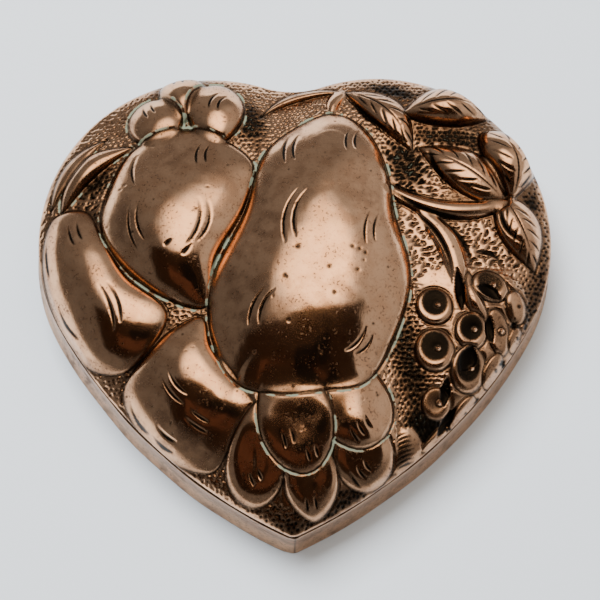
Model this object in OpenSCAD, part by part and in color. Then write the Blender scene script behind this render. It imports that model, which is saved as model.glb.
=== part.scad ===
// Heart-shaped copper trinket box with an embossed lift-off lid.
// Millimetres, +Z up, the heart's tip towards -Y. The origin is the centre
// of the flat underside, so the box rests on the plane z = 0.

/* [Heart outline] */
// Half the distance between the centres of the two lobes
lobe_x = 18.2; // [17:0.1:19]
// Radius of each lobe
lobe_r = 37.8; // [36:0.1:39]
// Radius of the long flanks between the lobes and the tip
flank_r = 112; // [105:1:130]
// Distance from the lobes' centres down to where the flanks would meet
tip_drop = 64.5; // [62:0.5:67]
// Rounding of the tip
tip_r = 3; // [2.9:0.1:4]
// Radius of the shallow cleft between the lobes
cleft_r = 20; // [18:1:24]
// Sideways lean of the hand-formed tip
tip_lean = -1.5; // [-2:0.1:2]

/* [Base] */
// Height of the base wall, up to the seam
wall_h = 13; // [12:0.5:16]
// Thickness of the wall's copper strip
wall_t = 1.2; // [1:0.1:1.2]
// How far the foot of the wall flares out
flare = 1.6; // [1.2:0.1:2]
// Height over which the flare runs out
flare_h = 7; // [6:0.5:8]
// Thickness of the base plate
plate_t = 1; // [0.8:0.1:1.1]
// Thickness of the inner collar that locates the lid
collar_t = 0.8; // [0.6:0.1:0.8]
// How far the collar rises above the wall
collar_rise = 1; // [0.6:0.1:1]

/* [Lid] */
// Gap of the seam between wall and lid
seam_gap = 0.3; // [0.2:0.05:0.4]
// Height of the lid's upright skirt
skirt_h = 2.2; // [2.2:0.1:3]
// Thickness of the embossed sheet
sheet_t = 0.9; // [0.8:0.05:0.9]
// Rise of the lid's plain dome, without the fruit
dome_h = 9; // [8:0.5:11]
// Height of the embossed fruit, as a share of the drawn height
relief = 1; // [0.7:0.05:1.1]

/* [Lining] */
// Thickness of the card that stiffens the lining
card_t = 0.4; // [0.3:0.05:0.4]
// Thickness of the velvet on the lining strip
velvet_t = 0.5; // [0.4:0.05:0.5]
// Thickness of the padded velvet bottom at its crown
pad_h = 4.5; // [4:0.5:6]

/* [Hidden] */

copper = [0.74, 0.5, 0.39];
bare_copper = [0.78, 0.52, 0.38];
card = [0.62, 0.55, 0.44];
wine_velvet = [0.36, 0.06, 0.1];

// Points along one arc of the outline, the last point left to the next arc
flank_n = 13;
lobe_n = 25;
cleft_n = 8;
tip_n = 6;

// Geometry of the outline, taken from the lobes' centres
half_chord = norm([lobe_x, tip_drop]);
chord_turn = atan2(tip_drop, lobe_x);
flank_k = (lobe_r * lobe_r - half_chord * half_chord) / (2 * flank_r) - lobe_r;
flank_turn = acos(flank_k / half_chord) - chord_turn;
flank_x = flank_r * cos(flank_turn);
flank_y = flank_r * sin(flank_turn) - tip_drop;
cleft_y = sqrt(pow(lobe_r + cleft_r, 2) - lobe_x * lobe_x);

function tip_centre(r) = flank_y - sqrt(pow(flank_r - r, 2) - flank_x * flank_x);

// Shift that puts the middle of the outline's box on the origin
heart_y = (tip_r - tip_centre(tip_r) - lobe_r) / 2;
heart_bottom = heart_y + tip_centre(tip_r) - tip_r;

function arc(cx, cy, r, a0, a1, n) =
    [for (k = [0 : n - 1]) let (a = a0 + (a1 - a0) * k / n) [cx + r * cos(a), cy + r * sin(a)]];

// The lean grows from nothing at the origin to its full size at the tip
function leaned(p) = [p.x + tip_lean * pow(max(0, p.y / heart_bottom), 2), p.y];

// Outline grown by o, counter-clockwise from the left end of the tip's rounding
function heart(o, r = tip_r) = let (
        tip_y = tip_centre(r),
        tip_a = atan2(tip_y - flank_y, flank_x),
        flank_a = atan2(-flank_y, lobe_x + flank_x),
        cleft_a = atan2(cleft_y, -lobe_x),
        raw = concat(
            arc(0, tip_y, r + o, -180 - tip_a, tip_a, tip_n),
            arc(-flank_x, flank_y, flank_r + o, tip_a, flank_a, flank_n),
            arc(lobe_x, 0, lobe_r + o, flank_a, cleft_a, lobe_n),
            arc(0, cleft_y, cleft_r - o, cleft_a - 180, -cleft_a, cleft_n),
            arc(-lobe_x, 0, lobe_r + o, 180 - cleft_a, 180 - flank_a, lobe_n),
            arc(flank_x, flank_y, flank_r + o, 180 - flank_a, 180 - tip_a, flank_n)))
    [for (p = raw) leaned(p + [0, heart_y])];

// Heights
wall_top = wall_h;
lid_bottom = wall_top + seam_gap;
shoulder = lid_bottom + skirt_h;

// Middle of the lid, towards which its rings shrink
crown = [0, 5];

// Embossed shapes: centre x, y, half length, half width, turn, height
EMBOSSED = [
    [3, -3, 21, 19, 0, 9],          // pear, its belly
    [6, 18, 24, 15, 78, 8.5],       // pear, its neck
    [-26, 17, 19, 17, 60, 8],       // apple
    [-43, 0, 18, 10, 100, 6.5],     // plum by the left rim
    [-24, -22, 14, 13, -30, 7],     // plum under the pear
    [-2, -30, 9, 7.5, 0, 6],        // calyx petals
    [12, -26, 9.5, 7.5, 20, 6],
    [12, -36, 8, 5, 0, 4],
    [-11, -41, 7, 4.5, -20, 3.5],
    [2, -44, 6, 4, 10, 3.5],
    [-30, 39, 6, 5, 0, 4.5],        // three buds
    [-24, 44, 5.5, 4.5, 0, 3.5],
    [-17, 41, 6, 5.5, 0, 5],
    [20, 39.5, 7, 4, -20, 3.5],     // vine leaves
    [32, 40, 8, 4, 0, 3],
    [34, 28, 9, 5.5, -25, 3.5],
    [44, 29, 7, 5, 60, 3],
    [45, 15, 7, 4.5, 100, 3],
    [33, -2, 9, 7, 40, 3.5],        // bunch of grapes
    [41, -5, 8, 6, 90, 3.5],
    [31, -16, 9, 7, 80, 3.5],
    [39, -17, 6, 4, 80, 3]
];

function lump(p, e) = let (
        d = p - [e[0], e[1]],
        u = (d.x * cos(e[4]) + d.y * sin(e[4])) / e[2],
        v = (d.y * cos(e[4]) - d.x * sin(e[4])) / e[3],
        q = 1 - u * u - v * v)
    q > 0 ? e[5] * pow(q, 0.7) : 0;

function embossed(p) = relief * max([for (e = EMBOSSED) lump(p, e)]);

// Height of the sheet's outer face above the shoulder at point p, which lies
// at the share s of the way from the crown to the rim
function swell(p, s) = dome_h * pow(1 - pow(s, 2.6), 0.75) + embossed(p) * min(1, (1 - s) * 12);

lid_rings = 17;
function ring_share(k) = 1 - pow(k / lid_rings, 1.3);
function shrunk(p, s) = crown + s * (p - crown);

// One ring of the lid: outline grown by o, at the share s, dropped by t
function lid_ring(o, s, t) = [for (p = heart(o))
    let (q = shrunk(p, s)) [q.x, q.y, shoulder + swell(q, s) - t]];

function level(outline, z) = [for (p = outline) [p.x, p.y, z]];

// Solid between stacked rings of points, closed at each end by one point
module stacked(first, rings, last) {
    n = len(rings[0]);
    m = len(rings);
    points = concat([first], [for (r = rings) each r], [last]);
    function at(i, k) = 1 + i * n + k % n;
    polyhedron(points = points, convexity = 8, faces = concat(
        [for (k = [0 : n - 1]) [0, at(0, k), at(0, k + 1)]],
        [for (i = [0 : m - 2], k = [0 : n - 1]) [at(i, k), at(i + 1, k), at(i + 1, k + 1)]],
        [for (i = [0 : m - 2], k = [0 : n - 1]) [at(i, k), at(i + 1, k + 1), at(i, k + 1)]],
        [for (k = [0 : n - 1]) [at(m - 1, k), m * n + 1, at(m - 1, k + 1)]]));
}

// Solid band that follows the outline, its section a closed list of [offset, z]
module band(section) {
    n = len(heart(0));
    m = len(section);
    points = [for (s = section) each level(heart(s[0]), s[1])];
    function at(i, k) = (i % m) * n + k % n;
    polyhedron(points = points, convexity = 8, faces = concat(
        [for (i = [0 : m - 1], k = [0 : n - 1]) [at(i, k), at(i + 1, k), at(i + 1, k + 1)]],
        [for (i = [0 : m - 1], k = [0 : n - 1]) [at(i, k), at(i + 1, k + 1), at(i, k + 1)]]));
}

// Upright strip between two offsets of the outline
module strip(outer, inner, z0, z1) {
    translate([0, 0, z0]) linear_extrude(z1 - z0) difference() {
        polygon(heart(outer));
        polygon(heart(inner));
    }
}

// Offsets of the layers inside the wall
collar_out = -wall_t;
collar_in = collar_out - collar_t;
card_in = collar_in - card_t;
velvet_in = card_in - velvet_t;
floor_r = 7;
floor_edge = velvet_in - 0.3;

function flare_at(z) = flare * pow(max(0, 1 - z / flare_h), 2);

module base_plate() {
    color(bare_copper) linear_extrude(plate_t) polygon(heart(0));
}

module base_wall() {
    levels = [0, 1.4, 3.2, flare_h, wall_top];
    color(copper) band(concat(
        [for (z = levels) [flare_at(z), z]],
        [for (i = [len(levels) - 1 : -1 : 0]) [flare_at(levels[i]) - wall_t, levels[i]]]));
}

module inner_collar() {
    color(bare_copper) strip(collar_out, collar_in, flare_h, wall_top + collar_rise);
}

// The lining strip's card and its velvet stand on the plate, inside the collar;
// the card stops just under the velvet's folded top edge
lining_top = wall_top + 0.5;
card_top = lining_top - 0.3;

module lining_card() {
    color(card) strip(collar_in, card_in, plate_t, card_top);
}

module lining_velvet() {
    color(wine_velvet) strip(card_in, velvet_in, plate_t, lining_top);
}

// The velvet bottom is a pad on a board of doubled card
board_t = card_t * 2;

module pad_board() {
    color(card) translate([0, 0, plate_t]) linear_extrude(board_t) polygon(heart(floor_edge, floor_r));
}

module velvet_pad() {
    z = plate_t + board_t;
    crown_share = 0.6;
    function pad_ring(o, dz) = level(heart(floor_edge - o, floor_r), z + dz);
    color(wine_velvet) stacked([0, 0, z],
        [pad_ring(0.6, 0), pad_ring(0, 0.7), pad_ring(0, 1.6), pad_ring(0.8, 2.8), pad_ring(2.4, 3.5),
         [for (p = heart(floor_edge, floor_r)) [p.x * crown_share, p.y * crown_share, z + pad_h - 0.2]]],
        [0, 0, z + pad_h]);
}

module lid_shell() {
    top = [crown.x, crown.y, shoulder + swell(crown, 0)];
    // The lid slopes, so its inner face lies more than sheet_t under the outer one
    drop = sheet_t * 1.2;
    color(copper) stacked(top - [0, 0, drop], concat(
            [for (k = [lid_rings - 1 : -1 : 0]) lid_ring(-sheet_t, ring_share(k), drop)],
            [level(heart(-sheet_t), lid_bottom), level(heart(0), lid_bottom)],
            [for (k = [0 : lid_rings - 1]) lid_ring(0, ring_share(k), 0)]),
        top);
}

base_plate();
base_wall();
inner_collar();
lining_card();
lining_velvet();
pad_board();
velvet_pad();
lid_shell();
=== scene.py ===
"""Looks of a heart-shaped copper trinket box with an embossed lid.

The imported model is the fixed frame. Lengths below are millimetres in its axes:
+Z up, the heart's tip towards -Y. Meshes are turned into metres when made.
"""
import math

import bpy
import numpy as np
from mathutils import Matrix, Vector


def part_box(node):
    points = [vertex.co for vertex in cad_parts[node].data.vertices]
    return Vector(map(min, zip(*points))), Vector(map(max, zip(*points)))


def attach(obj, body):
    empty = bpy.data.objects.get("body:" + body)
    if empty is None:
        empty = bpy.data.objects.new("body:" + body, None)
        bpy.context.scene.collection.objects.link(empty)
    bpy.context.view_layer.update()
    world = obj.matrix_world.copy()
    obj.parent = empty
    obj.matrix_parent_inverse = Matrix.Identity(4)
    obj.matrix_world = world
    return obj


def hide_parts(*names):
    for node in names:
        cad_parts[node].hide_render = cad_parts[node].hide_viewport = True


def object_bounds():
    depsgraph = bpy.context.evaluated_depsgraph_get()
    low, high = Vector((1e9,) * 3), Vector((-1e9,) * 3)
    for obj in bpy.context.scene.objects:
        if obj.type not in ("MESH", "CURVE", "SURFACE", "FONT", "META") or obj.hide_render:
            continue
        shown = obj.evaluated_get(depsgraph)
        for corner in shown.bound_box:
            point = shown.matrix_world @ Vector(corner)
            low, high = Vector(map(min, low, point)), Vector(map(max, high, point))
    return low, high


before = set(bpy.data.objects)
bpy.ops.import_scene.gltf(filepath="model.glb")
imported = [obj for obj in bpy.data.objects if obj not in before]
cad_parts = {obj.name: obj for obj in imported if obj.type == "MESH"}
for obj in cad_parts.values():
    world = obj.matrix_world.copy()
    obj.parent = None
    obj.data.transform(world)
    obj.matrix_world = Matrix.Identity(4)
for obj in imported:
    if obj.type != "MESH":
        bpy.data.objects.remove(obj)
cad_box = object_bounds()
MM = 0.001


def node_heights(name):
    """Lowest and highest z of a CAD node, in millimetres."""
    low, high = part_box(name)
    return low[2] / MM, high[2] / MM


def add_object(name, data):
    obj = bpy.data.objects.new(name, data)
    bpy.context.collection.objects.link(obj)
    return obj


# ---- camera

CAMERA_TARGET = (0.7, -0.4, 18)
CAMERA_DISTANCE = 400
CAMERA_TILT = 14.0
CAMERA_TURN = -5.4
CAMERA_ROLL = -1.0
CAMERA_LENS = 111.9


def add_camera():
    """A camera nearly overhead, tilted towards the tip."""
    turn, tilt, roll = (math.radians(a) for a in (CAMERA_TURN, CAMERA_TILT, CAMERA_ROLL))
    back = Vector((math.sin(turn) * math.sin(tilt), -math.cos(turn) * math.sin(tilt), math.cos(tilt)))
    right = Vector((0, 1, 0)).cross(back).normalized()
    up = back.cross(right)
    c, s = math.cos(roll), math.sin(roll)
    place = Matrix((c * right + s * up, c * up - s * right, back)).transposed().to_4x4()
    place.translation = (Vector(CAMERA_TARGET) + back * CAMERA_DISTANCE) * MM
    data = bpy.data.cameras.new("camera")
    data.sensor_width = 36
    data.lens = CAMERA_LENS
    camera = add_object("camera", data)
    camera.matrix_world = place
    bpy.context.scene.camera = camera


add_camera()

# ---- outline

LOBE_X, LOBE_R = 18.2, 37.8
FLANK_R, TIP_DROP = 112.0, 64.5
TIP_R, CLEFT_R = 3.0, 20.0
TIP_LEAN = -1.5
CROWN = np.array([0.0, 5.0])


def arc(cx, cy, r, a0, a1, n):
    """n points of an arc in degrees, its last point left to the next arc."""
    a = np.radians(a0 + (a1 - a0) * np.arange(n) / n)
    return np.stack([cx + r * np.cos(a), cy + r * np.sin(a)], 1)


def heart(offset, fine):
    """The box's outline grown by offset, counter-clockwise. A higher fine gives more points."""
    half = math.hypot(LOBE_X, TIP_DROP)
    k = (LOBE_R**2 - half**2) / (2 * FLANK_R) - LOBE_R
    turn = math.degrees(math.acos(k / half)) - math.degrees(math.atan2(TIP_DROP, LOBE_X))
    fx = FLANK_R * math.cos(math.radians(turn))
    fy = FLANK_R * math.sin(math.radians(turn)) - TIP_DROP
    ty = fy - math.sqrt((FLANK_R - TIP_R) ** 2 - fx * fx)
    shift = (TIP_R - ty - LOBE_R) / 2
    bottom = shift + ty - TIP_R
    cy = math.sqrt((LOBE_R + CLEFT_R) ** 2 - LOBE_X**2)
    ta = math.degrees(math.atan2(ty - fy, fx))
    fa = math.degrees(math.atan2(-fy, LOBE_X + fx))
    ca = math.degrees(math.atan2(cy, -LOBE_X))
    p = np.concatenate([
        arc(0, ty, TIP_R + offset, -180 - ta, ta, 4 * fine),
        arc(-fx, fy, FLANK_R + offset, ta, fa, 12 * fine),
        arc(LOBE_X, 0, LOBE_R + offset, fa, ca, 22 * fine),
        arc(0, cy, CLEFT_R - offset, ca - 180, -ca, 4 * fine),
        arc(-LOBE_X, 0, LOBE_R + offset, 180 - ca, 180 - fa, 22 * fine),
        arc(fx, fy, FLANK_R + offset, 180 - fa, 180 - ta, 12 * fine),
    ])
    p[:, 1] += shift
    p[:, 0] += TIP_LEAN * np.maximum(0, p[:, 1] / bottom) ** 2
    return p


def rim_reach(angle, offset=0.0):
    """How far the outline lies from the crown in each direction."""
    d = heart(offset, 16) - CROWN
    a = np.arctan2(d[:, 1], d[:, 0])
    order = np.argsort(a)
    return np.interp(angle, a[order], np.hypot(d[:, 0], d[:, 1])[order], period=2 * np.pi)


# ---- raster

PITCH = 0.15
LOW = np.array([-57.6, -52.8])
NX, NY = 769, 705
XS = LOW[0] + PITCH * np.arange(NX)
YS = LOW[1] + PITCH * np.arange(NY)
CURVE_STEPS = 12


def unit(a):
    """Limited to 0 to 1."""
    return np.clip(a, 0, 1)


def blur(a, sigma):
    """Gaussian blur of a raster, sigma in millimetres."""
    fx = np.fft.rfftfreq(a.shape[1], PITCH)
    fy = np.fft.fftfreq(a.shape[0], PITCH)
    g = np.exp(-2 * (math.pi * sigma) ** 2 * (fx[None, :] ** 2 + fy[:, None] ** 2))
    return np.fft.irfft2(np.fft.rfft2(a) * g, s=a.shape)


def window(points, margin):
    """The raster cells around some points, as row and column slices."""
    lo = np.floor((points.min(0) - margin - LOW) / PITCH).astype(int)
    hi = np.ceil((points.max(0) + margin - LOW) / PITCH).astype(int) + 1
    return (slice(max(lo[1], 0), min(hi[1], NY)), slice(max(lo[0], 0), min(hi[0], NX)))


def smooth(points):
    """A closed Catmull-Rom curve through the points."""
    p = np.array(points, float)
    a, b, c, d = (np.roll(p, k, 0)[:, None] for k in (1, 0, -1, -2))
    t = (np.arange(CURVE_STEPS) / CURVE_STEPS)[None, :, None]
    square, cube = 2 * a - 5 * b + 4 * c - d, 3 * b - a - 3 * c + d
    return 0.5 * (2 * b + (c - a) * t + square * t**2 + cube * t**3).reshape(-1, 2)


def inside(curve, win):
    """Which cells of the window lie inside a closed curve."""
    xs, ys = XS[win[1]], YS[win[0]]
    mask = np.zeros((len(ys), len(xs)), bool)
    for (x0, y0), (x1, y1) in zip(curve, np.roll(curve, -1, 0)):
        if y0 == y1:
            continue
        rows = (ys >= min(y0, y1)) & (ys < max(y0, y1))
        cross = x0 + (ys[rows] - y0) * (x1 - x0) / (y1 - y0)
        mask[rows] ^= xs[None, :] < cross[:, None]
    return mask


def distance(curve, closed, reach):
    """Distance of each cell to a curve and where along it (0 to 1) the nearest
    point lies, within reach; the rest of the window is far away."""
    win = window(curve, reach + PITCH)
    xs, ys = XS[win[1]], YS[win[0]]
    dist = np.full((len(ys), len(xs)), 99.0)
    along = np.zeros_like(dist)
    ends = np.roll(curve, -1, 0) if closed else curve[1:]
    starts = curve if closed else curve[:-1]
    for i, (p, q) in enumerate(zip(starts, ends)):
        lo, hi = np.minimum(p, q) - reach, np.maximum(p, q) + reach
        ci = slice(*np.searchsorted(xs, [lo[0], hi[0]]))
        ri = slice(*np.searchsorted(ys, [lo[1], hi[1]]))
        dx, dy = xs[ci][None, :] - p[0], ys[ri][:, None] - p[1]
        ex, ey = q - p
        t = unit((dx * ex + dy * ey) / max(ex * ex + ey * ey, 1e-9))
        d = np.hypot(dx - t * ex, dy - t * ey)
        near = d < dist[ri, ci]
        dist[ri, ci] = np.where(near, d, dist[ri, ci])
        along[ri, ci] = np.where(near, (i + t) / len(starts), along[ri, ci])
    return win, dist, along


def relax(u, mask, h, rounds):
    """Over-relaxed sweeps of the membrane equation, held at 0 outside the mask."""
    w = 2 / (1 + math.sin(math.pi / max(mask.sum() ** 0.5, 8)))
    odd = (np.add.outer(np.arange(u.shape[0]), np.arange(u.shape[1])) % 2).astype(bool)
    sets = [mask & odd, mask & ~odd]
    for _ in range(rounds):
        for cells in sets:
            mean = np.zeros_like(u)
            mean[1:-1, 1:-1] = (u[2:, 1:-1] + u[:-2, 1:-1] + u[1:-1, 2:] + u[1:-1, :-2] + h * h) / 4
            u[cells] += w * (mean[cells] - u[cells])
    return u


def inflated(curve, power):
    """A membrane blown up inside a closed curve, 1 at its highest point."""
    win = window(curve, 3 * PITCH)
    mask = inside(curve, win)
    u = None
    for step, rounds in ((4, 90), (2, 40), (1, 24)):
        m = mask[::step, ::step].copy()
        m[[0, -1]] = m[:, [0, -1]] = False
        if u is None:
            u = np.zeros(m.shape)
        else:
            u = np.repeat(np.repeat(u, 2, 0), 2, 1)[: m.shape[0], : m.shape[1]] * m
        u = relax(u, m, step * PITCH, rounds)
    return win, mask, unit(u / u.max()) ** power


# ---- what is embossed

def midrib(start, end, bow, t):
    """Points at the shares t of a line bowed to its left, and the way across it."""
    a, b = np.array(start, float), np.array(end, float)
    across = np.array([a[1] - b[1], b[0] - a[0]]) / math.dist(a, b)
    return a + (b - a) * t[:, None] + across * (4 * bow * t * (1 - t))[:, None], across


def blade(start, end, width, bow=0.0, fullest=0.5, ends=(0.5, 0.5)):
    """Outline of a leaf, petal or bud round its midrib. It is widest at the share
    fullest of its length; ends of 0.5 are round and of 1 pointed."""
    t = (1 - np.cos(np.linspace(0, math.pi, 17))) / 2
    rib, across = midrib(start, end, bow, t)
    sharp = ends[0] + (ends[1] - ends[0]) * t
    skew = math.log(0.5) / math.log(fullest)
    half = width / 2 * unit(np.sin(math.pi * t**skew)) ** sharp
    side = across * half[:, None]
    return np.concatenate([rib + side, (rib - side)[-2:0:-1]])


# The vine's leaves: rise, fullness, and the shape from stalk to tip as blade() takes it
VINE_LEAVES = [
    (3.4, 0.6, ((11.5, 46.5), (25.5, 31.5), 7.5, 2.6, 0.5, (0.8, 0.9))),
    (7.5, 0.5, ((24, 40.5), (44.5, 41), 10, 1.8, 0.5, (0.7, 0.9))),
    (7.5, 0.5, ((46.5, 20), (42.5, 37), 13, -3.6, 0.6, (0.8, 0.5))),
    (4.2, 0.6, ((45, 21), (51.5, 5), 10, 0.7, 0.4, (0.6, 1.0))),
    (4.2, 0.6, ((45.5, 20), (27, 32.5), 10, -1, 0.45, (0.8, 0.9))),
]

# Each raised shape: name, rise above the dome, fullness of the bulge (lower is
# fuller), outline. From the bottom up: a later shape hides the lines it laps over.
EMBOSSED = [
    ("bunch", 2.2, 0.45, smooth([
        (26, 0), (33, 3), (41, 5), (48, 2), (49.5, -6), (45, -15), (38, -24), (30, -30), (26, -24),
        (25, -12)])),
    ("web", 0.5, 0.5, smooth([
        (27, 3), (34, 5), (44, 3), (48.5, -5), (45, -15), (37, -26), (32, -29), (31.5, -14),
        (26.5, -7)])),
    ("crescent", 3.2, 0.6, blade((-35, 33.5), (-50.5, 19.5), 5, -3.2, ends=(0.8, 0.6))),
    ("outer_leaf", 1.6, 0.7, blade((-41, 36), (-53, 20), 3.2, -2.2, ends=(0.9, 0.9))),
    ("stalk", 2.0, 0.7, blade((-7, 40.5), (10.5, 46.5), 2.4, 2.4, ends=(0.9, 0.5))),
    ("hook", 2.2, 0.7, blade((11.5, 47), (8, 40), 3, -1)),
    *(("leaf", rise, fullness, blade(*leaf)) for rise, fullness, leaf in VINE_LEAVES),
    ("branch", 2.8, 0.7, blade((19, 23), (46, 20), 4.2, -3.6, ends=(0.3, 0.3))),
    ("vine", 2.4, 0.7, blade((26, 18), (34.5, -1), 5, 2.8, ends=(0.5, 0.3))),
    ("tendril", 2.8, 0.7, blade((36.5, 4.5), (41, -7.5), 3.8, -1.3, ends=(0.8, 0.8))),
    ("low_leaf", 1.8, 0.6, blade((33, -26), (25.5, -33.5), 3.6, 1, ends=(0.7, 0.8))),
    ("fan", 1.1, 0.6, blade((20.5, -38), (23.5, -29), 6, -0.6, 0.6)),
    ("calyx", 1.2, 0.4, smooth([
        (-10, -15), (-15, -31), (-13.5, -41), (-6, -43), (2, -46), (8, -41), (16, -40), (19, -32),
        (18, -20), (5, -13)])),
    ("bud_2", 6.0, 0.5, blade((-24, 38.5), (-24.5, 51), 10.5, fullest=0.62)),
    ("bud_1", 4.2, 0.5, blade((-30, 33), (-30.5, 45), 12)),
    ("bud_3", 4.8, 0.5, blade((-17, 33), (-17, 48.5), 12.5, fullest=0.55)),
    ("left_plum", 5.6, 0.68, smooth([
        (-52, 18.5), (-45, 19), (-41, 12), (-36, 4), (-28, -3), (-29, -9), (-36, -16), (-44, -15),
        (-50, -8), (-54, 3), (-54.5, 12)])),
    ("low_plum", 6.0, 0.68, smooth([
        (-20, -5.5), (-18, -12), (-13, -19), (-9, -26), (-14, -32), (-18.5, -37.5), (-27, -35),
        (-34, -28.5), (-37, -20), (-32, -13), (-26, -7.5)])),
    ("petal_c", 3.6, 0.66, blade((-9, -24), (-9.5, -45), 12.5, fullest=0.62)),
    ("petal_e", 3.6, 0.66, blade((12.5, -25), (14, -42), 13, fullest=0.58)),
    ("petal_d", 3.6, 0.66, blade((1.5, -30), (3, -48), 11.5, fullest=0.55, ends=(0.5, 0.65))),
    ("petal_b", 2.3, 0.62, blade((10, -13), (13.5, -33.5), 15.5, fullest=0.62)),
    ("petal_a", 2.4, 0.62, blade((-4, -13), (1.5, -38.5), 15.5, fullest=0.58)),
    ("apple", 6.8, 0.62, smooth([
        (-24, 37), (-15, 34), (-9, 28), (-11, 18), (-17, 7), (-19, -3), (-27, -1.5), (-36, 5),
        (-41.5, 14), (-40.5, 23), (-34.5, 33)])),
    ("pear", 8.9, 0.66, smooth([
        (8, 40.5), (15, 37), (19.5, 28), (21, 17), (24, 3), (20.5, -10), (14, -20), (5, -22),
        (-5, -22.5), (-14, -19), (-18.5, -8), (-17.5, 4), (-11, 17), (-7, 30), (0, 37)])),
]
# Shapes that lie on top of others
ON_TOP = ["petal_a", "petal_b", "petal_c", "petal_d", "petal_e", "grape", "plain_grape"]
# Shapes with a hollow middle and a rolled edge: how deep, as a share of the rise
DISHED = {"petal_a": 0.25, "petal_b": 0.25, "petal_c": 0.55, "petal_d": 0.55, "petal_e": 0.55,
          "grape": 0.62}
# Shapes that lean: extra rise for each millimetre from their middle towards the cleft
LEANING = {"calyx": 0.21, "bunch": 0.1, "apple": -0.12, "grape": -0.28, "low_plum": 0.15}
# Shapes without a chased outline
UNLINED = ["vine", "fan", "bunch", "web", "calyx", "hook"]
# Shapes whose outline has gone green
GREEN = ["pear", "apple", "petal_a", "petal_b", "bud_1", "bud_3", "crescent"]

# Grapes: centre, half width, half height, turn, rise, and how dark a reflection is painted in the dish
GRAPES = [
    (29, -3.5, 4, 4, 0, 2.2, 1.0), (28.8, -12.8, 4.3, 4.5, 0, 2.4, 1.0),
    (36.8, -8.5, 3.6, 4, 0, 2.2, 1.0), (36, -16.5, 3.8, 5, -10, 2.2, 0.9),
    (41.2, 1.2, 4.2, 3.2, -25, 2.0, 0.8), (29, -23.8, 3.2, 3.4, 0, 1.8, 0.6),
    (46.8, -3, 2.3, 3.6, 10, 1.2, 0.0), (42.8, -8.5, 2.4, 5, 10, 1.5, 0.5),
    (46.5, -9.5, 1.4, 3, -15, 0.9, 0.0), (41.5, -16.5, 2, 4, -25, 1.2, 0.0),
    (35, -25.5, 2, 4.5, -35, 1.2, 0.0),
]
GRAPE_FULLNESS = 0.5
# Deep dark slots between the grapes, as blade() takes them
SLOTS = [
    ((34, 5), (35, -4.5), 2.0), ((38, 1), (43.5, -1.8), 2.6, 0.4),
    ((41, -5), (41.5, -11), 2.0, -0.5), ((31.5, -18), (30.5, -24.5), 2.2),
    ((33.5, -24), (29, -30.5), 1.8), ((37, -11.5), (34.5, -17), 3.8, 0.3),
]
# Three-stroke sprigs chased between the grapes and the rim
SPRIGS = [(46.5, -6.5), (44, -14.5), (38.5, -22.5), (31.5, -28)]

# Chased strokes on fruit, buds and petals: middle x, y, length, turn in degrees,
# bow to the left of that way, and how many lie side by side
STROKES = [
    (-0.5, 31, 8, 80, 0.9, 2), (12.5, 33, 6, 80, 0.6, 2), (0, 14.5, 13, 76, 1.6, 2),
    (16, 12, 8.5, 80, 0.8, 2), (-7.5, -5, 9, 64, 1.0, 2), (12.5, -12, 7, 50, -0.9, 2),
    (-19.5, 30, 6, 80, 0.7, 2), (-33.2, 14, 11, 98, 1.3, 2), (-21, 14, 11, 76, -1.5, 2),
    (-34, 27, 8, 88, 1.0, 1), (-27, 9.5, 2, 40, 0, 1), (-23, 8, 3, 50, 0, 1),
    (-31.5, 41.5, 3.5, 112, 0.2, 2), (-25, 49, 2.8, 90, 0.3, 2), (-16.5, 42.5, 4.8, 62, 0.7, 2),
    (-47, 13.8, 6, 106, 0.4, 2), (-39.4, -3, 11, 108, -1.0, 2), (-49, -6, 11, 120, 0.9, 2),
    (-53.2, 9, 9, 95, 0.4, 1), (-25.5, -20.5, 8, 127, 0.8, 2), (-21, -27.5, 6, 145, 0.3, 2),
    (-34, -26.5, 10, 120, 0.9, 2), (-28, -30.5, 6.5, 138, 0.5, 2), (-2.5, -31.5, 4, 106, -0.2, 2),
    (2.6, -34.6, 3.2, 108, 0, 2), (13, -29.8, 4, 122, 0.3, 3), (13, -38.3, 4, 128, 0.3, 3),
    (2.3, -44.5, 3.2, 100, 0, 2), (-9.3, -39, 3.2, 112, 0, 2),
]
STROKES_APART = 1.9
# Longer grooves along the vine: both ends and the bow
GROOVES = [
    ((25.5, 17), (33, 2), 2), ((31, 15.5), (37.5, 3.5), 2), ((20, 22.5), (43, 17), -3.2),
    ((44, 18.5), (49, 10.5), -1.6), ((20, 24.5), (36, 19.5), -1.4), ((39, 8.5), (44.5, 5.5), 1.4),
    ((29, 32), (36, 22), -1.5), ((12, 45), (25, 33), -1.0),
]
# Knocks on the pear
KNOCKS = [(11.5, 7.5), (13, 7), (14.2, 6.3), (6.5, 3), (12.5, 2.5), (-2.8, 1.2), (0, 7.5), (7.5, -2.5)]
# Patches of ground never wiped clean: centre x, y, half length, half width, turn
DARK_PATCHES = [
    (-43, 26, 6, 3, 50), (-10, 39, 4, 6, 20), (34, 35, 12, 2.5, -5), (22, 46.5, 7, 2, -15),
    (24, 29, 4.5, 7, 15), (41, 30.5, 7, 3, -40), (50, 17, 2, 8, -20), (-44, 14, 5, 8, 30),
    (23.5, -15, 4, 13, 10), (26, -26, 4, 6, -10),
]


def heading(turn):
    """The way at an angle of turn degrees."""
    return np.array([math.cos(math.radians(turn)), math.sin(math.radians(turn))])


def oval(cx, cy, rx, ry, turn):
    """Points round an ellipse."""
    a = np.radians(np.arange(24) * 15)
    c, s = heading(turn)
    x, y = rx * np.cos(a), ry * np.sin(a)
    return np.stack([cx + c * x - s * y, cy + s * x + c * y], 1)


def embossings():
    """Every raised shape: name, rise, fullness, outline and the darkness of the reflection painted in its
    dish.
    """
    shapes = [(*shape, 0.0) for shape in EMBOSSED]
    for *ellipse, rise, dark in GRAPES:
        name = "grape" if dark else "plain_grape"
        shapes.append((name, rise, GRAPE_FULLNESS, oval(*ellipse), dark))
    return shapes


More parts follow.
